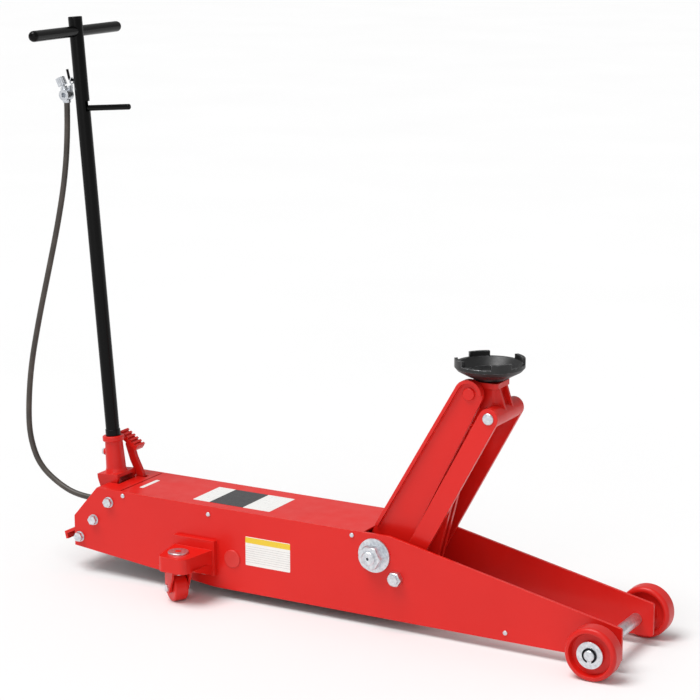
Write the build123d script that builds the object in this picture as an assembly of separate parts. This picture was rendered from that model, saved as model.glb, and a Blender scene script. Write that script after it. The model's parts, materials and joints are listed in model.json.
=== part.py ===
from build123d import *
import math
import os

# Long-chassis air and hydraulic floor jack, millimetres.
# +X runs forwards to the big front wheels, +Z is up, and the floor is z = 0.
# The jack is mirrored about y = 0: the right side is -Y and the left side is +Y.
SIDES = {"right": -1, "left": 1}

# Chassis side plates
PLATE_OUTER = 87.5
PLATE_THICK = 6.0
PLATE_INNER = PLATE_OUTER - PLATE_THICK
PLATE_TOP = 202.0
PLATE_BOTTOM = 22.0
PLATE_REAR = -642.0
PLATE_FRONT = 676.0
COVER_THICK = 3.0
COVER_JOINT = -516.0
COVER_FRONT = 95.0

# Lifting linkage, drawn with the arm raised
ARM_PIVOT = (123.6, 156.5)
ARM_LENGTH = 407.0
ARM_ANGLE = 61.7
ARM_WEB = (38.0, 46.0)
ARM_LIP = 54.0
ARM_FOOT_R = 43.0
ARM_HEAD_R = 30.0
LINK_OFFSET = (50.8, -42.4)
LINK_WIDTH = 40.0
LINK_LAYER = (55.0, 63.0)
PIVOT_PIN_R = 16.0
TOP_PIN_R = 13.0
LINK_PIN_R = 12.0
LINK_STUD_R = 10.0
RUN_FIT = 0.05

# Ram and the lever that it pushes
LEVER_LENGTH = 115.5
LEVER_ANGLE = -54.0
LEVER_LAYER = (7.0, 15.0)
ROLLER_R = 12.0
ROLLER_GAP = 2.2
RAM_Z = 60.0
RAM_R = 19.0
CYLINDER_REAR = -330.0
CYLINDER_FRONT = -25.0

# Saddle
SADDLE_X = 340.0
SADDLE_RIM_Z = 572.0
SADDLE_RIM_R = 72.0
SADDLE_FLOOR_R = 46.0
SADDLE_BASE_Z = 547.0
SADDLE_STEM_R = 14.0

# Front wheels
FRONT_X = 638.6
WHEEL_R = 54.6
WHEEL_FACE = 161.0
WHEEL_WIDTH = 40.0
AXLE_R = 12.5

# Rear casters
KINGPIN = (-322.0, 150.5)
CASTER_R = 30.0
CASTER_WIDTH = 31.0
CASTER_TRAIL = 10.0
CASTER_YAW = 34.0
SHELF_TOP = 108.5
SHELF_BOTTOM = 75.0

# Handle
HANDLE_PIVOT = (-583.0, 178.0)
HANDLE_LEAN = 4.57
TUBE_R = 15.4
TUBE_WALL = 2.6
TUBE_TOP = 1052.0
CROSSBAR_AT = 1024.0
CROSSBAR_HALF = 183.0
CROSSBAR_R = 11.8
CROSSBAR_TURN = 5.3
RELEASE_AT = 857.0
RELEASE_SWING = 45.0
HOOK_AT = 919.0

# Foot pedal
PEDAL_PIVOT = (-542.0, 146.0)
PEDAL_Y = 42.0

# Air hose, from the hand valve to the fitting at the back of the chassis
HOSE_R = 6.5
HOSE_ROUTE = [
    (-686.0, -12.0, 1044.0), (-686.0, -12.0, 984.0), (-691.0, -20.0, 880.0),
    (-709.0, -28.0, 773.0), (-734.0, -35.0, 664.0), (-761.0, -40.5, 552.5),
    (-785.0, -44.0, 440.0), (-793.0, -47.0, 335.0), (-786.0, -50.0, 275.0),
    (-760.5, -53.0, 221.0), (-706.0, -56.0, 185.0), (-650.0, -58.0, 166.0),
    (-604.0, -58.0, 166.0),
]
VALVE_PORT = (-686.0, 1061.0)
VALVE_Y = -12.0
VALVE_TILT = 26.0
PORT_HOLE_R = 5.6


def slab(sketch, y_low, y_high):
    """Plate with its outline drawn in the XZ plane, from y_low to y_high."""
    return extrude(Plane.XZ.offset(-y_high) * sketch, amount=y_high - y_low)


def rod_y(x, z, radius, y_low, y_high):
    """Round bar along Y."""
    return Pos(x, (y_low + y_high) / 2, z) * Rot(90, 0, 0) * Cylinder(radius, y_high - y_low)


def ring_y(x, z, outer, inner, y_low, y_high):
    """Washer or bush along Y."""
    return rod_y(x, z, outer, y_low, y_high) - rod_y(x, z, inner, y_low - 1, y_high + 1)


def hex_y(x, z, across_flats, y_low, y_high):
    """Hexagon head or nut blank along Y."""
    flat = Pos(x, z) * RegularPolygon(across_flats / math.sqrt(3), 6)
    return slab(flat, y_low, y_high)


def span(side, near, far):
    """A stretch of Y on one side of the jack, lowest first."""
    return tuple(sorted((side * near, side * far)))


def hull(circles):
    """Outline wrapped round a set of (x, z, radius) circles."""
    return make_hull([(Pos(x, z) * Circle(r)).edge() for x, z, r in circles])


def turned(origin, angle, reach, out=0.0):
    """Point at reach along a line at an angle, and out to its right-hand side."""
    a = math.radians(angle)
    x = origin[0] + reach * math.cos(a) + out * math.sin(a)
    z = origin[1] + reach * math.sin(a) - out * math.cos(a)
    return (x, z)


def save(name, *pieces):
    """Write one node; several pieces become a group of separate solids."""
    solids = [solid for piece in pieces for solid in piece.solids()]
    shape = solids[0] if len(solids) == 1 else Compound(solids)
    export_step(shape, f"parts/{name}.step")


ARM_TOP = turned(ARM_PIVOT, ARM_ANGLE, ARM_LENGTH)
LINK_FOOT = (ARM_PIVOT[0] + LINK_OFFSET[0], ARM_PIVOT[1] + LINK_OFFSET[1])
LINK_HEAD = (ARM_TOP[0] + LINK_OFFSET[0], ARM_TOP[1] + LINK_OFFSET[1])
LEVER_PIN = turned(ARM_PIVOT, LEVER_ANGLE, LEVER_LENGTH)
REAR_BOLTS = [(-546.8, 172.9), (-588.7, 126.7), (-628.0, 81.7)]
SCREW_SPOTS = [(-508.5, 193.0), (-285.0, 184.0), (70.0, 192.0), (424.4, 40.0)]
CAP_SPOT = (-225.0, 93.0)


# Chassis ---------------------------------------------------------------------

def side_plate(side):
    """Flame-cut plate with sloping nose, sloping belly and clipped rear corner."""
    outline = Polyline(
        (PLATE_REAR, 60), (PLATE_REAR, 129), (-579, PLATE_TOP), (159, PLATE_TOP),
        (PLATE_FRONT, 92), (PLATE_FRONT, PLATE_BOTTOM), (-270, PLATE_BOTTOM), close=True)
    face = make_face(outline)
    face = fillet(face.vertices().sort_by(Axis.X)[-2:], 6)
    y = span(side, PLATE_INNER, PLATE_OUTER)
    plate = slab(face, *y)
    for spot, radius in [(ARM_PIVOT, PIVOT_PIN_R), (LINK_FOOT, LINK_STUD_R), ((FRONT_X, WHEEL_R), AXLE_R)]:
        plate -= rod_y(*spot, radius, y[0] - 1, y[1] + 1)
    for spot in REAR_BOLTS:
        plate -= rod_y(*spot, 6, y[0] - 1, y[1] + 1)
    for spot in SCREW_SPOTS:
        plate -= rod_y(*spot, 3, y[0] - 1, y[1] + 1)
    for spot in bracket_bolt_spots():
        plate -= rod_y(*spot, 5, y[0] - 1, y[1] + 1)
    return plate


def cover(x_rear, x_front, flange):
    """Folded lid between the side plates, with a flange down each side."""
    width = 2 * (PLATE_INNER - 0.4)
    length = x_front - x_rear
    middle = (x_rear + x_front) / 2
    lid = Pos(middle, 0, PLATE_TOP - flange / 2) * Box(length, width, flange)
    hollow = Box(length + 2, width - 2 * COVER_THICK, flange)
    return lid - Pos(middle, 0, PLATE_TOP - flange / 2 - COVER_THICK) * hollow


def top_cover():
    lid = cover(COVER_JOINT, COVER_FRONT, 26)
    for x, z in SCREW_SPOTS[:3]:
        lid -= rod_y(x, z, 3, -PLATE_INNER, PLATE_INNER)
    return lid


def rear_cover():
    """Small lid round the foot of the handle, slotted for the pedal's arm."""
    lid = cover(-579, COVER_JOINT - 3.5, 14)
    lid -= Pos(-568, 0, PLATE_TOP) * Box(30, 78, 40)
    return lid - Pos(-558, PEDAL_Y, PLATE_TOP) * Box(54, 16, 40)


def rear_cross_plate():
    """Folded bumper plate that ties the side plates behind the pump."""
    outline = Polyline(
        (-636, 103), (-675, 85), (-671, 68), (-665, 69), (-668, 81), (-636, 96), close=True)
    return slab(make_face(outline), -PLATE_INNER, PLATE_INNER)


def rod_x(y, z, radius, x_low, x_high):
    """Round bar along X."""
    return Pos((x_low + x_high) / 2, y, z) * Rot(0, 90, 0) * Cylinder(radius, x_high - x_low)


def pump_block():
    """Casting bolted between the plates; it holds the pump bore and the handle's lugs."""
    body = Pos(-578, 0, 100) * Box(96, 139, 88)
    flank = make_face(Polyline((-635.5, 66), (-635.5, 96), (-556, 187), (-530, 187), (-530, 56), (-618, 56), close=True))
    for side in SIDES.values():
        body += slab(flank, *span(side, 69.5, PLATE_INNER))
        body += slab(hull([(*HANDLE_PIVOT, 15), (-583, 140, 18)]), *span(side, 38, 48))
    body += Pos(-575, -59, 159) * Box(26, 20, 38)
    body -= Pos(-583, 0, 166) * Box(110, 76, 50)
    body -= Pos(-542, PEDAL_Y, 146) * Box(44, 14, 50)
    body -= rod_y(*HANDLE_PIVOT, 10, -48.5, 48.5)
    body -= rod_y(*PEDAL_PIVOT, 6, 24, 60)
    body -= Pos(-610, 0, 120) * Cylinder(9 + RUN_FIT, 60)
    for x, z in REAR_BOLTS:
        for side in SIDES.values():
            body -= rod_y(x, z, 6, *span(side, 62, 90))
    return body - rod_x(-58, 166, 7, -590, -576)


def hydraulic_cylinder():
    """Barrel with a blind bore and a gland that the ram runs in."""
    barrel = rod_x(0, RAM_Z, 36, CYLINDER_REAR, CYLINDER_FRONT)
    barrel -= rod_x(0, RAM_Z, 30, CYLINDER_REAR + 30, CYLINDER_FRONT - 25)
    return barrel - rod_x(0, RAM_Z, RAM_R + RUN_FIT, CYLINDER_FRONT - 30, CYLINDER_FRONT + 1)


def oil_reservoir():
    """Round tank between the pump block and the barrel."""
    tank = rod_x(0, 85, 58, -530, CYLINDER_REAR)
    return tank - rod_x(0, 85, 54, -522, CYLINDER_REAR - 8)


def air_motor():
    """Reciprocating air motor lying on the barrel's right side."""
    can = rod_x(-50, 124, 22, CYLINDER_REAR, -160)
    return can + rod_x(-50, 124, 24, -176, -160) + rod_x(-50, 124, 9, -160, -148)


def cylinder_clamp():
    """Cross plate saddled over the front of the barrel, welded between the plates."""
    x = CYLINDER_FRONT - 40
    plate = Pos(x, 0, 73) * Box(10, 2 * PLATE_INNER, 66)
    return plate - rod_x(0, RAM_Z, 36, x - 10, x + 10)


def plug_cap(side):
    """Domed plastic cap pressed into the plate."""
    y = span(side, PLATE_OUTER, PLATE_OUTER + 3)
    cap = rod_y(*CAP_SPOT, 20, *y)
    return fillet(cap.faces().sort_by(Axis.Y)[0 if side < 0 else -1].edges(), 2)


def hex_bolt(x, z, side, across, head, shank_r, inner, washer_r=0.0):
    """Bolt through a side plate, head outside, with a washer if one is given."""
    seat = PLATE_OUTER
    bolt = rod_y(x, z, shank_r, *span(side, inner, seat + 1))
    if washer_r:
        bolt += rod_y(x, z, washer_r, *span(side, seat, seat + 1.8))
        seat += 1.8
    blank = hex_y(x, z, across, *span(side, seat, seat + head))
    crown = rod_y(x, z, across * 0.56, *span(side, seat, seat + head))
    return bolt + (blank & crown)


def rear_bolts():
    return [hex_bolt(x, z, s, 19, 8, 6, 63, 12) for x, z in REAR_BOLTS for s in SIDES.values()]


def cover_screws():
    """Button-headed screws for the covers and the nose."""
    screws = []
    for side in SIDES.values():
        for x, z in SCREW_SPOTS:
            screw = rod_y(x, z, 3, *span(side, PLATE_INNER - 5, PLATE_OUTER + 1))
            head = rod_y(x, z, 5, *span(side, PLATE_OUTER, PLATE_OUTER + 2.5))
            top = head.faces().sort_by(Axis.Y)[0 if side < 0 else -1]
            screws.append(screw + fillet(top.edges(), 1.5))
    return screws


def return_spring(side):
    """Close-wound tension spring that pulls the crosshead back."""
    x_rear, x_front = CYLINDER_FRONT + 3, LEVER_PIN[0] - 77
    turns, coil_r, wire_r = 24, 8.0, 2.0
    path = Helix((x_front - x_rear) / turns, x_front - x_rear, coil_r)
    start = Plane(path @ 0, z_dir=path % 0)
    coil = sweep(start * Circle(wire_r), path=path)
    return Pos(x_rear, side * 40, RAM_Z) * Rot(0, 90, 0) * coil


# Pivots ----------------------------------------------------------------------

def main_pivot_shaft():
    """Shaft that the arm turns on, with turned-down threaded ends."""
    reach = PLATE_OUTER + 31
    shaft = rod_y(*ARM_PIVOT, PIVOT_PIN_R, -PLATE_OUTER, PLATE_OUTER)
    shaft += rod_y(*ARM_PIVOT, 15, -reach, reach)
    ends = shaft.faces().filter_by(Axis.Y).sort_by(Axis.Y)
    shaft = chamfer(ends[0].edges() + ends[-1].edges(), 2)
    for side in SIDES.values():
        shaft -= rod_y(*ARM_PIVOT, 3, *span(side, reach - 14, reach + 1))
    return shaft


def main_pivot_washer(side):
    return ring_y(*ARM_PIVOT, 36.5, 16.2, *span(side, PLATE_OUTER, PLATE_OUTER + 4))


def plain_nut(spot, side, across, bore, seat, height):
    """Chamfered hexagon nut on a threaded end."""
    y = span(side, seat, seat + height)
    blank = hex_y(*spot, across, *y)
    corner = across / math.sqrt(3)
    crown = rod_y(*spot, corner - 0.6, *y)
    outer = crown.faces().sort_by(Axis.Y)[0 if side < 0 else -1]
    return (blank & chamfer(outer.edges(), 2.5)) - rod_y(*spot, bore, y[0] - 1, y[1] + 1)


def link_stud(side):
    """Headed stud that a radius link turns on."""
    stud = rod_y(*LINK_FOOT, LINK_STUD_R, *span(side, 50, PLATE_OUTER + 17))
    stud += rod_y(*LINK_FOOT, 15, *span(side, 49, LINK_LAYER[0] - 0.4))
    return stud + rod_y(*LINK_FOOT, 15, *span(side, LINK_LAYER[1] + 0.4, PLATE_INNER))


# Front axle and wheels -------------------------------------------------------

def front_axle():
    axle = rod_y(FRONT_X, WHEEL_R, AXLE_R, -160, 160)
    stub = rod_y(FRONT_X, WHEEL_R, 11, -164.5, 164.5)
    ends = stub.faces().filter_by(Axis.Y)
    return axle + chamfer(ends[0].edges() + ends[1].edges(), 1.2)


def axle_washers(side):
    """Thrust washer outside the wheel and a collar inside it."""
    outer = ring_y(FRONT_X, WHEEL_R, 27.5, AXLE_R, *span(side, 157.3, 160))
    inner = ring_y(FRONT_X, WHEEL_R, 20, AXLE_R, *span(side, 116, 120.7))
    return [outer, inner]


def axle_clip(side):
    """Spring clip on the stub, open at one side."""
    y = span(side, 160, 162)
    clip = ring_y(FRONT_X, WHEEL_R, 15.5, 11, *y)
    gap = Pos(FRONT_X, side * 161, WHEEL_R - 14) * Box(10, 4, 12)
    return clip - gap


def front_wheel(side):
    """Cast wheel with a rounded tread and a dished web on both faces."""
    half = WHEEL_WIDTH / 2
    profile = make_face(Polyline(
        (AXLE_R + RUN_FIT, -half + 4), (23, -half + 4), (26, -half + 11), (41, -half + 12),
        (44.6, -half), (WHEEL_R, -half), (WHEEL_R, half), (44.6, half), (41, half - 12),
        (26, half - 11), (23, half - 4), (AXLE_R + RUN_FIT, half - 4), close=True))
    rim = profile.vertices().filter_by(lambda v: v.X > WHEEL_R - 0.1)
    profile = fillet(rim, 8)
    wheel = revolve(profile, Axis.Y)
    return Pos(FRONT_X, side * (WHEEL_FACE - half), WHEEL_R) * wheel


# Casters ---------------------------------------------------------------------

def bracket_bolt_spots():
    return [(-288.0, 62.0), (-345.0, 62.0)]


def caster_bracket(side):
    """Casting with a bolting flange and a shelf that carries the kingpin."""
    flange = Pos(-316.5, side * 93.5, 90) * Box(105, 12, 78)
    outline = make_face(Polyline((-366, 99), (-349, 190), (-284, 190), (-279, 170), (-268, 99), close=True))
    corners = outline.vertices().filter_by(lambda v: v.Y > 180)
    outline = fillet(corners, 14)
    shelf = extrude(Pos(0, 0, SHELF_BOTTOM) * outline, amount=SHELF_TOP - SHELF_BOTTOM)
    rib = make_face(Polyline((99, 52), (99, 80), (168, 80), (160, 75), (125, 62), close=True))
    for x in (-364, -276):
        shelf += Pos(x, 0, 0) * extrude(Plane.YZ * rib, amount=6)
    casting = flange + (mirror(shelf, Plane.XZ) if side < 0 else shelf)
    casting -= Pos(KINGPIN[0], side * KINGPIN[1], 90) * Cylinder(8, 60)
    for spot in bracket_bolt_spots():
        casting -= rod_y(*spot, 5, *span(side, 80, 110))
    return casting


def bracket_bolts():
    """Hexagon bolts that hold the caster brackets to the plates."""
    bolts = []
    for side in SIDES.values():
        for x, z in bracket_bolt_spots():
            shank = rod_y(x, z, 5, *span(side, 76, 100))
            head = hex_y(x, z, 17, *span(side, 99.5, 107))
            nut = hex_y(x, z, 17, *span(side, 74, PLATE_INNER))
            bolts.append(shank + head + nut)
    return bolts


def kingpin(side):
    """Pin with a broad washer head above the shelf and a collar below the fork."""
    at = Pos(KINGPIN[0], side * KINGPIN[1], 0)
    pin = Pos(0, 0, 87) * Cylinder(8, 50)
    head = Pos(0, 0, SHELF_TOP + 2.25) * Cylinder(22.5, 4.5)
    head = fillet(head.faces().sort_by(Axis.Z)[-1].edges(), 1.5)
    collar = Pos(0, 0, 63.6) * Cylinder(12, 3.4)
    return at * (pin + head + collar)


def caster_place(side):
    return Pos(KINGPIN[0], side * KINGPIN[1], 0) * Rot(0, 0, side * CASTER_YAW)


def caster_fork(side):
    """Forged fork: a round-cornered crown with a leg each side of the wheel."""
    crown = Pos(-2, 0, 70) * Box(42, 46, 8)
    crown += Pos(0, 0, 74.2) * Cylinder(17, 1.2)
    leg = hull([(-CASTER_TRAIL, CASTER_R, 12), (-12, 63, 10), (8, 63, 10)])
    for y in ((-23, -18), (18, 23)):
        crown += slab(leg, *y)
    crown -= Pos(0, 0, 70) * Cylinder(8 + RUN_FIT, 20)
    crown -= rod_y(-CASTER_TRAIL, CASTER_R, 5, -30, 30)
    return caster_place(side) * crown


def caster_wheel(side):
    """Solid roller with rounded shoulders and bossed hub."""
    wheel = rod_y(-CASTER_TRAIL, CASTER_R, CASTER_R, -CASTER_WIDTH / 2, CASTER_WIDTH / 2)
    wheel = fillet(wheel.edges().filter_by(GeomType.CIRCLE), 4)
    wheel += rod_y(-CASTER_TRAIL, CASTER_R, 10, -17.6, 17.6)
    return caster_place(side) * (wheel - rod_y(-CASTER_TRAIL, CASTER_R, 5 + RUN_FIT, -20, 20))


def caster_axle(side):
    axle = rod_y(-CASTER_TRAIL, CASTER_R, 5, -23, 23)
    for y in ((-26.5, -23), (23, 26.5)):
        axle += rod_y(-CASTER_TRAIL, CASTER_R, 8, *y)
    return caster_place(side) * axle


# Arm -------------------------------------------------------------------------

def arm_point(reach, out=0.0):
    """Point beside the arm's centre line; out is towards the radius links."""
    return turned(ARM_PIVOT, ARM_ANGLE, reach, out)


def arm_plate(side):
    """Tapered web with an outward lip along its back edge and round its head."""
    circles = [(*ARM_PIVOT, ARM_FOOT_R), (*ARM_TOP, ARM_HEAD_R)]
    inner = [(*ARM_PIVOT, ARM_FOOT_R - 7), (*ARM_TOP, ARM_HEAD_R - 7)]
    web = slab(hull(circles), *span(side, *ARM_WEB))
    rim = slab(hull(circles), *span(side, ARM_WEB[1] - 1, ARM_LIP))
    rim -= slab(hull(inner), *span(side, 30, 60))
    cut = [arm_point(-60, -14), arm_point(-60, 90), arm_point(ARM_LENGTH + 14, 90), arm_point(ARM_LENGTH + 14, 18),
           arm_point(ARM_LENGTH, 0), arm_point(40, 0), arm_point(40, -60), arm_point(-60, -60)]
    rim -= slab(make_face(Polyline(*cut, close=True)), *span(side, 30, 60))
    plate = web + rim
    plate -= rod_y(*ARM_PIVOT, 24, -60, 60)
    return plate - rod_y(*ARM_TOP, TOP_PIN_R, -60, 60)


def arm_pivot_tube():
    """Hub tube welded through both webs."""
    return ring_y(*ARM_PIVOT, 24, PIVOT_PIN_R + RUN_FIT, -75, 75)


def arm_back_plate():
    """Cross plate that boxes the two webs together along the arm's back."""
    outer = Polyline(arm_point(70, -34), arm_point(350, -28), arm_point(350, -22), arm_point(70, -28), close=True)
    return slab(make_face(outer), -ARM_WEB[0], ARM_WEB[0])


def lever_plate(y_low, y_high):
    """Triangular plate from the hub down to the ram's roller and up inside the arm."""
    shape = hull([(*ARM_PIVOT, 34), (*LEVER_PIN, 20), (*arm_point(318, 22), 10)])
    plate = slab(shape, y_low, y_high)
    return plate - rod_y(*ARM_PIVOT, 24, -60, 60) - rod_y(*LEVER_PIN, 8, -60, 60)


def lever_spacers():
    """Round spacers that tie the lever plates to the webs."""
    spot = arm_point(300, 20)
    y = ((-ARM_WEB[0], -LEVER_LAYER[1]), (-LEVER_LAYER[0], LEVER_LAYER[0]), (LEVER_LAYER[1], ARM_WEB[0]))
    return [rod_y(*spot, 9, *pair) for pair in y]


def lever_roller():
    """Pin with a roller at each end for the crosshead to push on."""
    pin = rod_y(*LEVER_PIN, 8, -30, 30)
    return pin + rod_y(*LEVER_PIN, ROLLER_R, -29, -17.5) + rod_y(*LEVER_PIN, ROLLER_R, 17.5, 29)


def top_pin():
    """Red-painted pin through the arm's head."""
    pin = rod_y(*ARM_TOP, TOP_PIN_R, -51, 51)
    ends = pin.faces().filter_by(Axis.Y)
    return chamfer(ends[0].edges() + ends[1].edges(), 1.5)


def radius_link(side):
    """Flat bar with rounded ends that keeps the saddle level."""
    half = LINK_WIDTH / 2
    bar = slab(hull([(*LINK_FOOT, half), (*LINK_HEAD, half + 1)]), *span(side, *LINK_LAYER))
    bar -= rod_y(*LINK_FOOT, LINK_STUD_R + RUN_FIT, -90, 90)
    return bar - rod_y(*LINK_HEAD, LINK_PIN_R + RUN_FIT, -90, 90)


# Ram -------------------------------------------------------------------------

def ram_rod():
    """Polished ram with its piston."""
    piston_front = CYLINDER_FRONT - 45
    rod = rod_x(0, RAM_Z, RAM_R, piston_front, LEVER_PIN[0] - 75)
    return rod + rod_x(0, RAM_Z, 30 - RUN_FIT, piston_front - 20, piston_front)


def crosshead():
    """Fork on the ram's nose; the rollers work up and down between its posts."""
    x = LEVER_PIN[0]
    block = Pos(x - 60, 0, 57) * Box(30, 100, 42)
    for side in SIDES.values():
        block += Pos(x - 17.5, side * 24.5, 59) * Box(87, 13, 66)
    slot = 2 * (ROLLER_R + ROLLER_GAP)
    return block - Pos(x, 0, 48) * Box(slot, 80, 60)


# Saddle ----------------------------------------------------------------------

def saddle_bracket():
    """Level casting between the arm's head and the radius links."""
    body = rod_y(*ARM_TOP, 20, -ARM_WEB[0] + 0.5, ARM_WEB[0] - 0.5)
    body += rod_y(*LINK_HEAD, 21, -LINK_LAYER[0] + 0.5, LINK_LAYER[0] - 0.5)
    body += slab(hull([(*ARM_TOP, 18), (*LINK_HEAD, 16), (SADDLE_X, 505, 22)]), -20, 20)
    column = Pos(SADDLE_X, 0, 508) * Box(46, 46, 46)
    cap = Pos(SADDLE_X, 0, 532.2) * Box(64, 64, 11)
    body += fillet(column.edges().filter_by(Axis.Z), 6) + fillet(cap.edges().filter_by(Axis.Z), 8)
    gusset = make_face(Polyline((SADDLE_X + 20, 528), (SADDLE_X + 31, 528), (LINK_HEAD[0] + 19, LINK_HEAD[1] + 8),
                                LINK_HEAD, (SADDLE_X, 480), close=True))
    for side in SIDES.values():
        body += slab(gusset, *span(side, 14, 20))
    body -= rod_y(*ARM_TOP, TOP_PIN_R + RUN_FIT, -60, 60)
    body -= rod_y(*LINK_HEAD, LINK_PIN_R, -60, 60)
    return body - Pos(SADDLE_X, 0, 538) * Cylinder(SADDLE_STEM_R + RUN_FIT, 20)


def link_pin():
    """Plated pin through the bracket and both radius links."""
    pin = rod_y(*LINK_HEAD, LINK_PIN_R, -66, 66)
    ends = pin.faces().filter_by(Axis.Y)
    return chamfer(ends[0].edges() + ends[1].edges(), 1.5)


def saddle():
    """Cast cup with four rim lugs, raised pads and a stem that swivels."""
    floor_z = SADDLE_BASE_Z + 8
    profile = make_face(Polyline(
        (0, 528.5), (SADDLE_STEM_R, 528.5), (SADDLE_STEM_R, 538), (30, 538), (34, 542), (35, SADDLE_BASE_Z),
        (SADDLE_FLOOR_R, SADDLE_BASE_Z), (SADDLE_RIM_R - 6, SADDLE_RIM_Z - 14), (SADDLE_RIM_R, SADDLE_RIM_Z - 7),
        (SADDLE_RIM_R, SADDLE_RIM_Z), (SADDLE_RIM_R - 7, SADDLE_RIM_Z), (SADDLE_FLOOR_R + 4, floor_z),
        (0, floor_z), close=True))
    cup = revolve(Plane.XZ * profile, Axis.Z)
    band = Circle(SADDLE_RIM_R) - Circle(SADDLE_RIM_R - 7)
    lug = extrude(Pos(0, 0, SADDLE_RIM_Z - 1) * (band & (Pos(SADDLE_RIM_R, 0) * Rectangle(40, 44))), amount=12)
    for i in range(4):
        cup += Rot(0, 0, 45 + 90 * i) * lug
        cup += Rot(0, 0, 90 * i) * Pos(28, 0, floor_z + 1) * Cylinder(10, 3)
    return Pos(SADDLE_X, 0, 0) * cup


# Handle ----------------------------------------------------------------------

def on_handle(piece):
    """Lean a piece that was drawn upright with the handle's pivot at the origin."""
    return Pos(HANDLE_PIVOT[0], 0, HANDLE_PIVOT[1]) * Rot(0, -HANDLE_LEAN, 0) * piece


def handle_socket():
    """Casting: a tube with a collar, on a channel whose cheeks straddle the pivot."""
    body = Pos(0, 0, 37) * Box(55, 71, 8)
    cheek = hull([(0, 0, 18), (-19.5, 33, 8), (19.5, 33, 8)])
    for side in SIDES.values():
        body += slab(cheek, *span(side, 27.5, 35.5))
    body += Pos(-24.5, 0, 26) * Box(6, 60, 22)
    body += Pos(-18, 0, 10) * Box(13, 22, 50)
    body += Pos(0, 0, 41) * Cone(25.5, 22.5, 8, align=(Align.CENTER, Align.CENTER, Align.MIN))
    body += Pos(0, 0, 49) * Cone(22.5, 19.8, 62, align=(Align.CENTER, Align.CENTER, Align.MIN))
    collar = Pos(0, 0, 117) * Cylinder(24.5, 12)
    body += fillet(collar.edges().filter_by(GeomType.CIRCLE), 2.5)
    body += Pos(-20, 0, 84) * Rot(0, 90, 0) * Cylinder(8, 12)
    body -= Pos(0, 0, 86) * Cylinder(TUBE_R, 80)
    body -= rod_y(0, 0, 10 + RUN_FIT, -50, 50)
    return on_handle(body - Pos(-22, 0, 84) * Rot(0, 90, 0) * Cylinder(4, 20))


def clamp_screw():
    """Set bolt that locks the tube in the socket."""
    bolt = Pos(-22, 0, 84) * Rot(0, 90, 0) * Cylinder(4, 13)
    head = Pos(-31, 0, 84) * Rot(0, 90, 0) * extrude(RegularPolygon(7.5, 6), amount=5)
    return on_handle(bolt + head)


def handle_tube():
    """Long steel tube, slotted for the release lever and bored for the crossbar."""
    start = 49
    tube = Pos(0, 0, (start + TUBE_TOP) / 2) * Cylinder(TUBE_R, TUBE_TOP - start)
    tube -= Pos(0, 0, (start + TUBE_TOP) / 2 + 5) * Cylinder(TUBE_R - TUBE_WALL, TUBE_TOP - start)
    tube += Pos(0, 0, 130) * (Cylinder(TUBE_R + 1.4, 14) - Cylinder(TUBE_R - 0.1, 20))
    tube -= Pos(0, 0, CROSSBAR_AT) * Rot(0, 0, CROSSBAR_TURN) * rod_y(0, 0, CROSSBAR_R, -30, 30)
    slot = Pos(0, 0, RELEASE_AT + 4) * Box(60, 60, 22)
    low, high = math.radians(-33), math.radians(RELEASE_SWING + 33)
    wedge = make_face(Polyline((0, 0), (60 * math.cos(low), 60 * math.sin(low)), (60, 25), (55, 60),
                               (60 * math.cos(high), 60 * math.sin(high)), close=True))
    tube -= slot & Pos(0, 0, RELEASE_AT - 20) * extrude(wedge, amount=60)
    return on_handle(tube)


def crossbar():
    """T-bar through the top of the tube, with rounded ends."""
    bar = rod_y(0, 0, CROSSBAR_R, -CROSSBAR_HALF, CROSSBAR_HALF)
    ends = bar.edges().filter_by(GeomType.CIRCLE)
    bar = fillet(ends, CROSSBAR_R - 1)
    return on_handle(Pos(0, 0, CROSSBAR_AT) * Rot(0, 0, CROSSBAR_TURN) * bar)


def tube_plug():
    """Cap pressed into the open top of the tube."""
    plug = Pos(0, 0, TUBE_TOP - 4) * Cylinder(TUBE_R - TUBE_WALL, 8)
    lid = Pos(0, 0, TUBE_TOP + 2) * Cylinder(TUBE_R, 4)
    return on_handle(plug + fillet(lid.faces().sort_by(Axis.Z)[-1].edges(), 2.5))


def hose_hook():
    """Bent wire hook welded to the back of the tube."""
    path = FilletPolyline((-TUBE_R + 2, 0, HOOK_AT), (-30, 0, HOOK_AT), (-34, 0, HOOK_AT + 24), radius=6)
    profile = Plane(path @ 0, z_dir=path % 0) * Circle(2.8)
    hook = sweep(profile, path=path)
    return on_handle(hook - Pos(0, 0, HOOK_AT) * Cylinder(TUBE_R, 30))


def release_lever():
    """Finger peg on the long rod that opens the release valve."""
    rod = Pos(0, 0, (70 + RELEASE_AT) / 2) * Cylinder(6, RELEASE_AT + 12 - 70)
    peg = Pos(62, 0, RELEASE_AT) * Rot(0, 90, 0) * Cylinder(6.3, 124)
    tip = peg.faces().sort_by(Axis.X)[-1]
    return on_handle(rod + fillet(tip.edges(), 3))


def pump_plunger():
    """Pump piston with a broad button under the handle's cam."""
    return Pos(-610, 0, 131) * Cylinder(9, 40) + Pos(-610, 0, 153) * Cylinder(13, 4)


# Pedal -----------------------------------------------------------------------

def foot_pedal():
    """Curved pedal arm with a ribbed tread, sprung upwards."""
    spine = [(*PEDAL_PIVOT, 12), (-549, 206, 9), (-566, 240, 9), (-577, 272, 9)]
    outline = [hull(pair) for pair in zip(spine, spine[1:])]
    arm = outline[0] + outline[1] + outline[2]
    body = slab(arm, PEDAL_Y - 5, PEDAL_Y + 5)
    place = Pos(-574, PEDAL_Y, 282) * Rot(0, 33, 0)
    body += place * Box(56, 30, 9)
    for i in range(6):
        body += place * Pos(-25 + 10 * i, 0, 6) * Box(5, 30, 6)
    return body - rod_y(*PEDAL_PIVOT, 6 + RUN_FIT, 0, 60)


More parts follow.
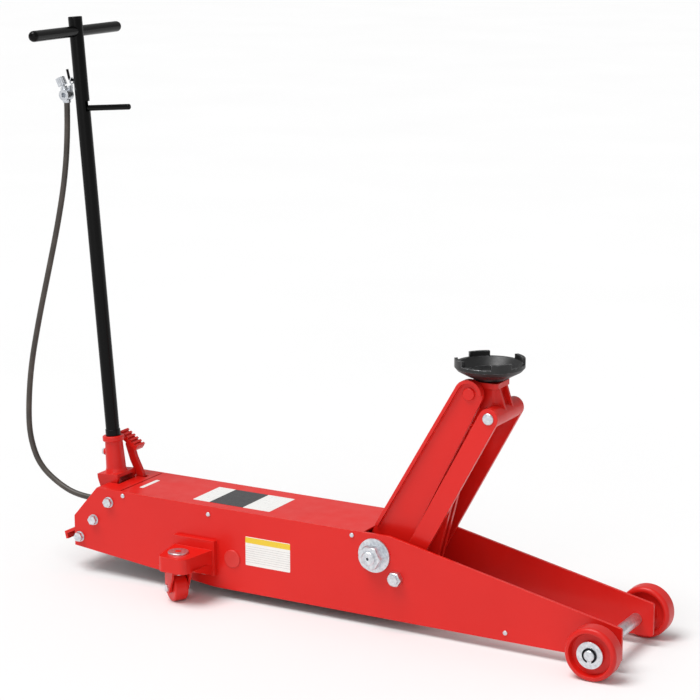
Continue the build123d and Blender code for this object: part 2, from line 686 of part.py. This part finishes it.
# Air line --------------------------------------------------------------------

def hose_path():
    """Straight runs of the route joined by arcs as large as the runs allow."""
    points = [Vector(*p) for p in HOSE_ROUTE]
    radii = []
    for before, here, after in zip(points, points[1:], points[2:]):
        turn = (here - before).get_angle(after - here)
        shorter = min((here - before).length, (after - here).length)
        radii.append(0.45 * shorter / math.tan(math.radians(turn / 2)))
    print("hose radii mm:", [round(r) for r in radii])
    return FilletPolyline(*HOSE_ROUTE, radius=radii)


def hose():
    path = hose_path()
    tube = sweep(Plane(path @ 0, z_dir=path % 0) * Circle(HOSE_R), path=path)
    print("hose length mm:", round(path.length), "volume / (section x length):",
          round(tube.volume / (math.pi * HOSE_R ** 2 * path.length), 4))
    return tube


def hose_fitting():
    """Hexagon swivel and nipple screwed into the pump block."""
    nipple = rod_x(-58, 166, 7, -590, -578)
    swivel = Pos(-604, -58, 166) * Rot(0, 90, 0) * extrude(RegularPolygon(10.5, 6), amount=14)
    return nipple + swivel


def in_valve(piece):
    """Incline a piece that was drawn upright over the valve's port."""
    return Pos(VALVE_PORT[0], VALVE_Y, VALVE_PORT[1]) * Rot(0, -VALVE_TILT, 0) * piece


def valve_body():
    """Plated hand valve: hose tail, round inlet boss, inclined barrel and hanging eye."""
    x, z = VALVE_PORT
    tail = Pos(x, VALVE_Y, 1051) * Cylinder(9, 14)
    boss = rod_y(x, z, 12.5, VALVE_Y - 12, VALVE_Y + 9)
    barrel = in_valve(Pos(0, 0, 9) * Cylinder(8, 18))
    eye = Pos(x + 5.9, -5, z + 14) * Box(4, 12, 12)
    body = tail + boss + barrel + eye
    body -= in_valve(Pos(0, 0, 14) * Cylinder(4 + RUN_FIT, 16))
    return body - rod_y(x, z, PORT_HOLE_R, VALVE_Y - 13, VALVE_Y)


def valve_knob():
    """Ribbed push button on a stem that slides in the valve's barrel."""
    grip = Pos(0, 0, 31) * Cylinder(10.5, 18)
    for i in range(12):
        grip -= Rot(0, 0, 30 * i) * Pos(10.8, 0, 31) * Cylinder(1.3, 20)
    return in_valve(grip + Pos(0, 0, 16) * Cylinder(4, 14))


def valve_ring():
    """Wire ring that hangs the valve on the hook."""
    lean = math.radians(HANDLE_LEAN)
    x = HANDLE_PIVOT[0] - HOOK_AT * math.sin(lean) - 24 * math.cos(lean)
    z = HANDLE_PIVOT[1] + HOOK_AT * math.cos(lean) - 24 * math.sin(lean)
    return Pos(x, 0, z - 2.2) * Rot(0, 90, 0) * Torus(6.6, 1.5)


def main():
    os.makedirs("parts", exist_ok=True)
    for name, side in SIDES.items():
        save(f"{name}_side_plate", side_plate(side))
        save(f"{name}_caster_bracket", caster_bracket(side))
        save(f"{name}_caster_fork", caster_fork(side))
        save(f"{name}_caster_wheel", caster_wheel(side))
        save(f"{name}_caster_axle", caster_axle(side))
        save(f"{name}_front_wheel", front_wheel(side))
        save(f"{name}_arm_plate", arm_plate(side))
    both = SIDES.values()
    save("top_cover", top_cover())
    save("rear_cover", rear_cover())
    save("rear_cross_plate", rear_cross_plate())
    save("pump_block", pump_block())
    save("hydraulic_cylinder", hydraulic_cylinder())
    save("oil_reservoir", oil_reservoir())
    save("air_motor", air_motor())
    save("cylinder_clamp", cylinder_clamp())
    save("plug_caps", *[plug_cap(s) for s in both])
    save("rear_bolts", *rear_bolts())
    save("cover_screws", *cover_screws())
    save("return_springs", *[return_spring(s) for s in both])
    save("main_pivot_shaft", main_pivot_shaft())
    pivot_nuts = [plain_nut(ARM_PIVOT, s, 46, 15, PLATE_OUTER + 4, 22) for s in both]
    save("main_pivot_nuts", *pivot_nuts, *[main_pivot_washer(s) for s in both])
    link_nuts = [plain_nut(LINK_FOOT, s, 28.6, LINK_STUD_R, PLATE_OUTER, 13) for s in both]
    save("link_studs", *[link_stud(s) for s in both], *link_nuts)
    save("radius_links", *[radius_link(s) for s in both])
    save("front_axle", front_axle())
    save("axle_hardware", *[w for s in both for w in axle_washers(s)], *[axle_clip(s) for s in both])
    save("bracket_bolts", *bracket_bolts())
    save("kingpins", *[kingpin(s) for s in both])
    save("arm_pivot_tube", arm_pivot_tube())
    save("arm_back_plate", arm_back_plate())
    save("lever_plates", *[lever_plate(*span(s, *LEVER_LAYER)) for s in both], *lever_spacers())
    save("lever_roller", lever_roller())
    save("top_pin", top_pin())
    save("ram_rod", ram_rod())
    save("crosshead", crosshead())
    save("saddle_bracket", saddle_bracket())
    save("link_pin", link_pin())
    save("saddle", saddle())
    save("handle_socket", handle_socket())
    save("clamp_screw", clamp_screw())
    save("handle_tube", handle_tube())
    save("crossbar", crossbar())
    save("tube_plug", tube_plug())
    save("hose_hook", hose_hook())
    save("release_lever", release_lever())
    save("pump_plunger", pump_plunger())
    save("rear_pins", rod_y(*HANDLE_PIVOT, 10, -48, 48), rod_y(*PEDAL_PIVOT, 6, 25, 59))
    save("foot_pedal", foot_pedal())
    save("hose_fitting", hose_fitting())
    save("hose", hose())
    save("valve_body", valve_body())
    save("valve_knob", valve_knob())
    save("valve_ring", valve_ring())


main()
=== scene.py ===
# %% [markdown]
# # A long-chassis floor jack
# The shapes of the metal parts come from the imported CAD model, already in place and in metres.
# This notebook gives them their finishes, hangs the air hose, sticks on the labels and lights the lot.

import bmesh
import bpy
import json
import math
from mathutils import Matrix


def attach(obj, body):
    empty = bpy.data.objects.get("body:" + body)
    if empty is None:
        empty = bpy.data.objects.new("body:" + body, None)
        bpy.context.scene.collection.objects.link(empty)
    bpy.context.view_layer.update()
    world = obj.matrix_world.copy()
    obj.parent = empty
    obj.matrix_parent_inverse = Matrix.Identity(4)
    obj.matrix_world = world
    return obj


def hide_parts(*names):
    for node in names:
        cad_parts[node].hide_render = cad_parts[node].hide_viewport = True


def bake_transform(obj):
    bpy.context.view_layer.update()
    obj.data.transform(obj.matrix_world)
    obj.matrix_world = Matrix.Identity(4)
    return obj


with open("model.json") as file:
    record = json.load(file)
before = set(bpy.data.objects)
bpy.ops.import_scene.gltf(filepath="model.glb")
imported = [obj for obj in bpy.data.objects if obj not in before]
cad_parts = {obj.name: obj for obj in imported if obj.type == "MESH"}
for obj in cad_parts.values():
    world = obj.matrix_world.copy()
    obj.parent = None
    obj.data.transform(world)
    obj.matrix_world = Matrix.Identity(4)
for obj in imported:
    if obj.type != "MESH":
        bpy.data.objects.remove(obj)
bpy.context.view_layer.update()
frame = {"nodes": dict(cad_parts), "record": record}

# %% [markdown]
# ## The camera
# A long lens far away keeps the perspective gentle, as in a catalogue picture. The camera stands to the
# right of the jack, in front of it and above it, so that the side, the lid and both front wheels show.

# %% Camera
camera_data = bpy.data.cameras.new("camera")
camera_data.lens = 112.44
camera_data.sensor_width = 36.0
camera = bpy.data.objects.new("camera", camera_data)
camera.location = (2.18806, -3.89020, 1.56926)
camera.rotation_euler = (math.radians(77.279), 0.0, math.radians(29.169))
bpy.context.scene.collection.objects.link(camera)
bpy.context.scene.camera = camera
print("camera lens mm:", camera_data.lens)

# %% [markdown]
# ## The air hose
# A NURBS spline bends as a stiff hose does: it never turns sharply, however few control points it has.
# Order 3 with the endpoints used makes it pass through both ends. Both are set once the points exist,
# because Blender lowers the order of a spline that has too few points. The bare curve gives the hose's
# centreline, and the same curve with a round bevel gives its skin. The skin becomes a mesh of its own.

# %% Air hose
HOSE_ROUTE = [
    (-0.604, -0.058, 0.166), (-0.650, -0.058, 0.166), (-0.706, -0.056, 0.185), (-0.7605, -0.053, 0.221),
    (-0.786, -0.050, 0.275), (-0.793, -0.047, 0.335), (-0.785, -0.044, 0.440), (-0.761, -0.0405, 0.5525),
    (-0.734, -0.035, 0.664), (-0.709, -0.028, 0.773), (-0.691, -0.020, 0.880), (-0.686, -0.012, 0.984),
    (-0.686, -0.012, 1.044),
]
HOSE_RADIUS = 0.0065


def route_curve(points, radius):
    """One open NURBS curve; a radius above zero gives it a round skin."""
    curve = bpy.data.curves.new("route", "CURVE")
    curve.dimensions = "3D"
    spline = curve.splines.new("NURBS")
    spline.points.add(len(points) - 1)
    for point, place in zip(spline.points, points):
        point.co = (*place, 1.0)
    spline.order_u = 3
    spline.use_endpoint_u = True
    spline.resolution_u = 16
    curve.bevel_depth = radius
    curve.bevel_resolution = 6
    curve.use_fill_caps = radius > 0
    return bpy.data.objects.new("route", curve)


def curve_mesh(points, radius, name):
    """The curve turned into a mesh of its own."""
    source = route_curve(points, radius)
    bpy.context.scene.collection.objects.link(source)
    bpy.context.view_layer.update()
    graph = bpy.context.evaluated_depsgraph_get()
    mesh = bpy.data.meshes.new_from_object(source.evaluated_get(graph))
    mesh.name = name
    bpy.data.objects.remove(source)
    return mesh


def place(mesh, name):
    """Put a mesh in the scene at the origin, unturned and unscaled."""
    made = bpy.data.objects.new(name, mesh)
    bpy.context.scene.collection.objects.link(made)
    return made


centreline = [tuple(v.co) for v in curve_mesh(HOSE_ROUTE, 0.0, "hose_line").vertices]
air_hose = place(curve_mesh(HOSE_ROUTE, HOSE_RADIUS, "air_hose"), "air_hose")
for face in air_hose.data.polygons:
    face.use_smooth = True
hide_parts("hose")
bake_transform(air_hose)
print("hose vertices:", len(air_hose.data.vertices))

# %% [markdown]
# ## Tools for the finishes
# Colours are written as a paint chart writes them, in sRGB, and turned into the linear numbers that
# Blender's sockets take. One function adds a node, sets its sockets and links what feeds it, so that each
# finish reads as a short list.

# %% Finish tools
MM = 1000.0  # millimetres in a metre


def colour(code):
    """Hex sRGB colour to linear."""
    parts = [int(code[i:i + 2], 16) / 255 for i in (0, 2, 4)]
    linear = [c / 12.92 if c <= 0.04045 else ((c + 0.055) / 1.055) ** 2.4 for c in parts]
    return (*linear, 1.0)


def add(tree, kind, sockets=None, **settings):
    """Add a node. A socket's value is a number, a colour, or another node's output to link."""
    made = tree.nodes.new("ShaderNode" + kind)
    for name, value in settings.items():
        setattr(made, name, value)
    for name, value in (sockets or {}).items():
        if isinstance(value, bpy.types.NodeSocket):
            tree.links.new(value, made.inputs[name])
        else:
            made.inputs[name].default_value = value
    return made


def finish_start(name):
    """A new material with its shader, and the coordinates fixed to the piece, in metres."""
    material = bpy.data.materials.new(name)
    material.use_nodes = True
    tree = material.node_tree
    tree.nodes.clear()
    shader = add(tree, "BsdfPrincipled")
    add(tree, "OutputMaterial", {"Surface": shader.outputs[0]})
    coords = add(tree, "TexCoord").outputs["Object"]
    return material, tree, shader, coords


def noise(tree, coords, size_mm, detail=4.0):
    """Cloudy noise whose features are about size_mm across."""
    return add(tree, "TexNoise", {"Vector": coords, "Scale": MM / size_mm, "Detail": detail}).outputs[0]


def remap(tree, value, old, new):
    """Stretch a range of values to another, clamped."""
    return add(tree, "MapRange", {"Value": value, "From Min": old[0], "From Max": old[1],
                                  "To Min": new[0], "To Max": new[1]}).outputs[0]


def blend_colour(tree, share, first, second):
    """First colour where share is 0, second where it is 1."""
    return add(tree, "Mix", {0: share, 6: first, 7: second}, data_type="RGBA").outputs[2]


def times(tree, first, second):
    """Product of two values."""
    return add(tree, "Math", {0: first, 1: second}, operation="MULTIPLY").outputs[0]


def soften(tree, radius_mm):
    """The normal as it would be with every sharp edge rounded to this radius."""
    return add(tree, "Bevel", {"Radius": radius_mm / MM}, samples=6).outputs[0]


def wear(tree, coords, rounded, patch_mm):
    """1 in patches along sharp edges, where the rounded normal leaves the flat one, and 0 elsewhere."""
    flat = add(tree, "NewGeometry").outputs["Normal"]
    turn = add(tree, "VectorMath", {0: rounded, 1: flat}, operation="DOT_PRODUCT").outputs["Value"]
    edge = remap(tree, turn, (0.985, 0.86), (0.0, 1.0))
    patch = remap(tree, noise(tree, coords, patch_mm), (0.42, 0.62), (0.0, 1.0))
    return times(tree, edge, patch)


def roughen(tree, shader, height, rounded, depth_mm, strength):
    """Bump from a height, on top of the rounded edges."""
    bump = add(tree, "Bump", {"Height": height, "Normal": rounded, "Distance": depth_mm / MM,
                              "Strength": strength})
    tree.links.new(bump.outputs[0], shader.inputs["Normal"])


# %% [markdown]
# ## Paint
# Sprayed enamel isn't flat: it dries with a fine ripple called orange peel, it thins on sharp edges, and
# its shade drifts a little over a large panel. Three noises of different size give those three things.

# %% Paint


def paint(name, base, deep, edge, rough, peel_mm, peel_strength, coat, shine):
    """Sprayed finish: base drifting to deep, edge where it is thin, under a clear coat."""
    material, tree, shader, coords = finish_start(name)
    drift = remap(tree, noise(tree, coords, 260, 2), (0.35, 0.7), (0.0, 0.55))
    shade = blend_colour(tree, drift, colour(base), colour(deep))
    rounded = soften(tree, 1.1)
    worn = wear(tree, coords, rounded, 14)
    shade = blend_colour(tree, worn, shade, colour(edge))
    tree.links.new(shade, shader.inputs["Base Color"])
    smear = remap(tree, noise(tree, coords, 35), (0.3, 0.75), (rough - 0.05, rough + 0.09))
    tree.links.new(smear, shader.inputs["Roughness"])
    shader.inputs["Coat Weight"].default_value = coat
    shader.inputs["Coat Roughness"].default_value = 0.12
    shader.inputs["Specular IOR Level"].default_value = shine
    roughen(tree, shader, noise(tree, coords, peel_mm, 2), rounded, 0.12, peel_strength)
    return material


# Gloss alkyd enamel over pressed and flame-cut steel
red_enamel = paint("red_enamel", "D81A12", "CB150E", "F25A4A", 0.36, 2.2, 0.14, 0.12, 0.32)
# The same enamel over sand castings, where the grain of the mould shows through
red_cast = paint("red_cast_enamel", "D4180F", "BC120B", "EA5042", 0.38, 1.3, 0.40, 0.10, 0.32)
# Black gloss powder coat on the handle
black_coat = paint("black_powder_coat", "060606", "030303", "2A2A2C", 0.22, 1.8, 0.12, 0.04, 0.12)
print("paints:", red_enamel.name, red_cast.name, black_coat.name)

# %% [markdown]
# ## Bare and plated metal
# Zinc plate is bright with a cloudy grey bloom. Ground steel has fine lines round or along the piece,
# drawn here by noise that is stretched on one axis.

# %% Metals


def metal(name, base, cloud, rough, cloud_mm, grain):
    """Bare or plated metal; grain is the noise scale on each axis, low along the grinding lines."""
    material, tree, shader, coords = finish_start(name)
    bloom = remap(tree, noise(tree, coords, cloud_mm), (0.35, 0.7), (0.0, 1.0))
    tree.links.new(blend_colour(tree, bloom, colour(base), colour(cloud)), shader.inputs["Base Color"])
    shader.inputs["Metallic"].default_value = 1.0
    rounded = soften(tree, 0.5)
    stretched = add(tree, "Mapping", {"Vector": coords, "Scale": grain}).outputs[0]
    lines = noise(tree, stretched, 1.0, 3)
    tree.links.new(remap(tree, lines, (0.3, 0.7), (rough - 0.07, rough + 0.1)), shader.inputs["Roughness"])
    roughen(tree, shader, lines, rounded, 0.04, 0.2)
    return material


# Bright zinc plate on bolts, nuts, axle and hand valve
zinc = metal("zinc_plate", "E4E7EB", "C3C7CD", 0.36, 6, (1.0, 1.0, 1.0))
# The same plate, with black oxide where the spring clips lie outside the thrust washers
CLIP_FACE_Y = 0.1602  # outer face of the thrust washers, with the clips beyond it
clip_zinc = metal("zinc_and_black_oxide", "E4E7EB", "C3C7CD", 0.36, 6, (1.0, 1.0, 1.0))
tree = clip_zinc.node_tree
shader = next(n for n in tree.nodes if n.type == "BSDF_PRINCIPLED")
coords = add(tree, "TexCoord").outputs["Object"]
across = add(tree, "SeparateXYZ", {0: coords}).outputs[1]
outward = add(tree, "Math", {0: across}, operation="ABSOLUTE").outputs[0]
clip = add(tree, "Math", {0: outward, 1: CLIP_FACE_Y}, operation="GREATER_THAN").outputs[0]
plate_colour = shader.inputs["Base Color"].links[0].from_socket
tree.links.new(blend_colour(tree, clip, plate_colour, colour("26262A")), shader.inputs["Base Color"])
# Ground steel on the ram, rollers, springs and barrel
steel = metal("ground_steel", "A6A7A9", "85868A", 0.34, 20, (0.12, 1.0, 1.0))
print("metals:", zinc.name, steel.name)

# %% [markdown]
# ## Blackened iron
# The saddle is a rough casting. Its lugs and rim rub against vehicles, so the black wears through to
# bright iron there, and nowhere else.

# %% Iron
iron, tree, shader, coords = finish_start("blackened_iron")
rounded = soften(tree, 1.8)
worn = wear(tree, coords, rounded, 9)
grain = noise(tree, coords, 1.6, 5)
cloud = remap(tree, noise(tree, coords, 22), (0.35, 0.7), (0.0, 1.0))
tone = blend_colour(tree, cloud, colour("0A0A0B"), colour("161617"))
tree.links.new(blend_colour(tree, worn, tone, colour("A9A9AB")), shader.inputs["Base Color"])
tree.links.new(remap(tree, worn, (0.0, 1.0), (0.0, 0.9)), shader.inputs["Metallic"])
tree.links.new(remap(tree, grain, (0.3, 0.7), (0.32, 0.55)), shader.inputs["Roughness"])
roughen(tree, shader, grain, rounded, 0.35, 0.5)
print("iron:", iron.name)

# %% [markdown]
# ## Rubber and plastic
# Hose rubber is dark and satin, with a dusty bloom and the faint print of the cloth it was cured in. The
# plug caps are moulded plastic, nearly smooth.

# %% Rubber and plastic


def polymer(name, base, bloom, rough, cloud_mm, grain_mm, strength):
    """Rubber or plastic with a dusty bloom and a fine surface grain."""
    material, tree, shader, coords = finish_start(name)
    dust = remap(tree, noise(tree, coords, cloud_mm), (0.4, 0.75), (0.0, 0.7))
    tree.links.new(blend_colour(tree, dust, colour(base), colour(bloom)), shader.inputs["Base Color"])
    tree.links.new(remap(tree, dust, (0.0, 0.7), (rough, rough + 0.14)), shader.inputs["Roughness"])
    rounded = soften(tree, 0.4)
    roughen(tree, shader, noise(tree, coords, grain_mm, 3), rounded, 0.1, strength)
    return material


# Satin rubber air hose
hose_rubber = polymer("hose_rubber", "3A342F", "554D46", 0.42, 30, 1.2, 0.35)
# Moulded red plug caps
red_plastic = polymer("red_plastic", "CF2A24", "D83A33", 0.33, 18, 2.5, 0.08)
air_hose.data.materials.clear()
air_hose.data.materials.append(hose_rubber)
print("polymers:", hose_rubber.name, red_plastic.name)

# %% [markdown]
# ## Which piece has which finish
# The record names a slot for each node, and each slot has one finish here. Castings share the red slot
# with the plates but show their grain, so they are listed by name.

# %% Dress the CAD nodes
BY_SLOT = {
    "red_enamel": red_enamel, "red_caster": red_cast, "zinc_plate": zinc, "black_enamel": black_coat,
    "black_iron": iron, "hose_rubber": hose_rubber, "bare_steel": steel, "red_plastic": red_plastic,
}
CASTINGS = {
    "handle_socket", "saddle_bracket", "foot_pedal", "right_caster_bracket", "left_caster_bracket",
    "right_caster_fork", "left_caster_fork",
}
for part in frame["record"]["subparts"]:
    chosen = red_cast if part["node"] in CASTINGS else BY_SLOT[part["material_slot"]]
    if part["node"] == "axle_hardware":
        chosen = clip_zinc
    mesh = frame["nodes"][part["node"]].data
    mesh.materials.clear()
    mesh.materials.append(chosen)

# %% [markdown]
# ## Labels
# A vinyl label is a thin sheet with rounded corners. Each is a cube scaled to a box 0.3 mm thick, with the
# four edges across its thickness bevelled round. Its plain colour bands are drawn by comparing the place
# along the sheet with the band's edges. The bands stand for print, and say nothing.

# %% Labels
LABEL_CORNER = 0.0022


def sheet_label(name, low, high, across):
    """Thin rounded sheet between two corners; across is the axis that it is thin on."""
    bm = bmesh.new()
    bmesh.ops.create_cube(bm, size=1.0)
    size = [b - a for a, b in zip(low, high)]
    middle = [(a + b) / 2 for a, b in zip(low, high)]
    bmesh.ops.scale(bm, vec=size, verts=bm.verts)
    corners = [e for e in bm.edges if abs((e.verts[0].co - e.verts[1].co)[across]) > 1e-6]
    bmesh.ops.bevel(bm, geom=corners, offset=LABEL_CORNER, segments=5, profile=0.5, affect="EDGES",
                    material=-1)
    bmesh.ops.translate(bm, vec=middle, verts=bm.verts)
    bmesh.ops.recalc_face_normals(bm, faces=bm.faces)
    mesh = bpy.data.meshes.new(name)
    bm.to_mesh(mesh)
    bm.free()
    made = place(mesh, name)
    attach(made, "chassis")
    return made


def banded(name, ground, bands, axis):
    """Vinyl with plain bands; each is (from, to, colour) in metres along one axis."""
    material, tree, shader, coords = finish_start(name)
    along = add(tree, "SeparateXYZ", {0: coords}).outputs[axis]
    dust = remap(tree, noise(tree, coords, 30), (0.4, 0.7), (0.0, 0.1))
    shade = blend_colour(tree, dust, colour(ground), colour("C9C9C6"))
    for start, end, code in bands:
        after = add(tree, "Math", {0: along, 1: start}, operation="GREATER_THAN").outputs[0]
        before = add(tree, "Math", {0: along, 1: end}, operation="LESS_THAN").outputs[0]
        shade = blend_colour(tree, times(tree, after, before), shade, colour(code))
    tree.links.new(shade, shader.inputs["Base Color"])
    tree.links.new(remap(tree, noise(tree, coords, 12), (0.3, 0.7), (0.24, 0.34)), shader.inputs["Roughness"])
    return material


HEADER = (0.135, 0.1478, "E8C52E")
RULE_BOTTOM = 0.0925
RULE_STEP = 0.005
RULE_HEIGHT = 0.0007
rules = [RULE_BOTTOM + RULE_STEP * i for i in range(8)]
LABEL_BANDS = [HEADER] + [(low, low + RULE_HEIGHT, "B4B4B2") for low in rules]
side_label = sheet_label("side_label", (-0.191, -0.0878, 0.085), (-0.080, -0.0875, 0.149), 1)
# White vinyl with a yellow header and thin grey rules
side_label.data.materials.append(banded("side_label_vinyl", "ECECE8", LABEL_BANDS, 2))
lid_panel = sheet_label("lid_panel", (-0.343, -0.059, 0.2020), (-0.148, 0.049, 0.2023), 2)
# Dark vinyl panel between two white ones
lid_panel.data.materials.append(banded("lid_panel_vinyl", "E9E9E6", [(-0.300, -0.215, "2B2B2E")], 0))
lid_strip = sheet_label("lid_strip", (-0.497, -0.040, 0.2020), (-0.487, 0.028, 0.2023), 2)
# Plain white strip
lid_strip.data.materials.append(banded("lid_strip_vinyl", "E9E9E6", [], 0))
print("labels:", side_label.name, lid_panel.name, lid_strip.name)

# %% [markdown]
# ## Paint in the kingpins
# The head of each caster's kingpin is plated, with a dished centre that the spray gun filled with red. The
# dab is a spun profile: one half of its section, turned round the pin's axis and closed at the middle.

# %% Kingpin dabs
KINGPIN_X = -0.322
KINGPIN_Y = 0.1505
HEAD_TOP = 0.1130


def dab(name, y):
    """Low dome of paint on the head of a kingpin."""
    section = [(0.0, 0.0006), (0.004, 0.0005), (0.0064, 0.0003), (0.0075, 0.0)]
    bm = bmesh.new()
    ring = [bm.verts.new((KINGPIN_X + r, y, HEAD_TOP + h)) for r, h in section]
    ring.append(bm.verts.new((KINGPIN_X, y, HEAD_TOP)))
    line = [bm.edges.new(pair) for pair in zip(ring, ring[1:])]
    bmesh.ops.spin(bm, geom=ring + line, cent=(KINGPIN_X, y, 0), axis=(0, 0, 1), angle=2 * math.pi,
                   steps=40, use_merge=True)
    bmesh.ops.remove_doubles(bm, verts=bm.verts, dist=1e-6)
    bmesh.ops.recalc_face_normals(bm, faces=bm.faces)
    mesh = bpy.data.meshes.new(name)
    bm.to_mesh(mesh)
    bm.free()
    mesh.materials.append(red_enamel)
    made = place(mesh, name)
    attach(made, "chassis")
    return made


dabs = [dab("right_kingpin_dab", -KINGPIN_Y), dab("left_kingpin_dab", KINGPIN_Y)]
print("kingpin dabs:", [len(d.data.polygons) for d in dabs])

# %% [markdown]
# ## Floor and light
# A pale floor under a white sky gives soft shadows and clean reflections in the paint. A soft sun
# from above and the left shapes the arm, and a weaker one fills the side that faces the camera. Suns light
# a wide floor evenly, so no edge or gradient shows behind the jack.

# %% Floor and light
FLOOR_HALF = 70.0  # so wide that its edge is never seen
SKY_STRENGTH = 0.45
bm = bmesh.new()
bmesh.ops.create_grid(bm, x_segments=1, y_segments=1, size=FLOOR_HALF)
floor_mesh = bpy.data.meshes.new("floor")
bm.to_mesh(floor_mesh)
bm.free()
floor = place(floor_mesh, "floor")
# Matt white studio card
card, tree, shader, coords = finish_start("studio_card")
card_shade = blend_colour(tree, noise(tree, coords, 900, 2), colour("EAEAEA"), colour("E6E6E6"))
tree.links.new(card_shade, shader.inputs["Base Color"])
shader.inputs["Roughness"].default_value = 0.8
floor_mesh.materials.append(card)

# Standard keeps the paint as red as its colour code says
bpy.context.scene.view_settings.view_transform = "Standard"
world = bpy.data.worlds.new("sky")
world.use_nodes = True
world.node_tree.nodes["Background"].inputs[0].default_value = (1.0, 1.0, 1.0, 1.0)
world.node_tree.nodes["Background"].inputs[1].default_value = SKY_STRENGTH
bpy.context.scene.world = world


def sun(name, turn, softness, strength):
    """Far lamp that lights the whole floor evenly; softness is the angle it fills, in degrees."""
    data = bpy.data.lights.new(name, "SUN")
    data.angle = math.radians(softness)
    data.energy = strength
    made = bpy.data.objects.new(name, data)
    made.rotation_euler = [math.radians(t) for t in turn]
    bpy.context.scene.collection.objects.link(made)


sun("key", (18, -16, 0), 34, 2.6)
sun("fill", (68, 4, 18), 50, 0.5)
print("lamps: key and fill")
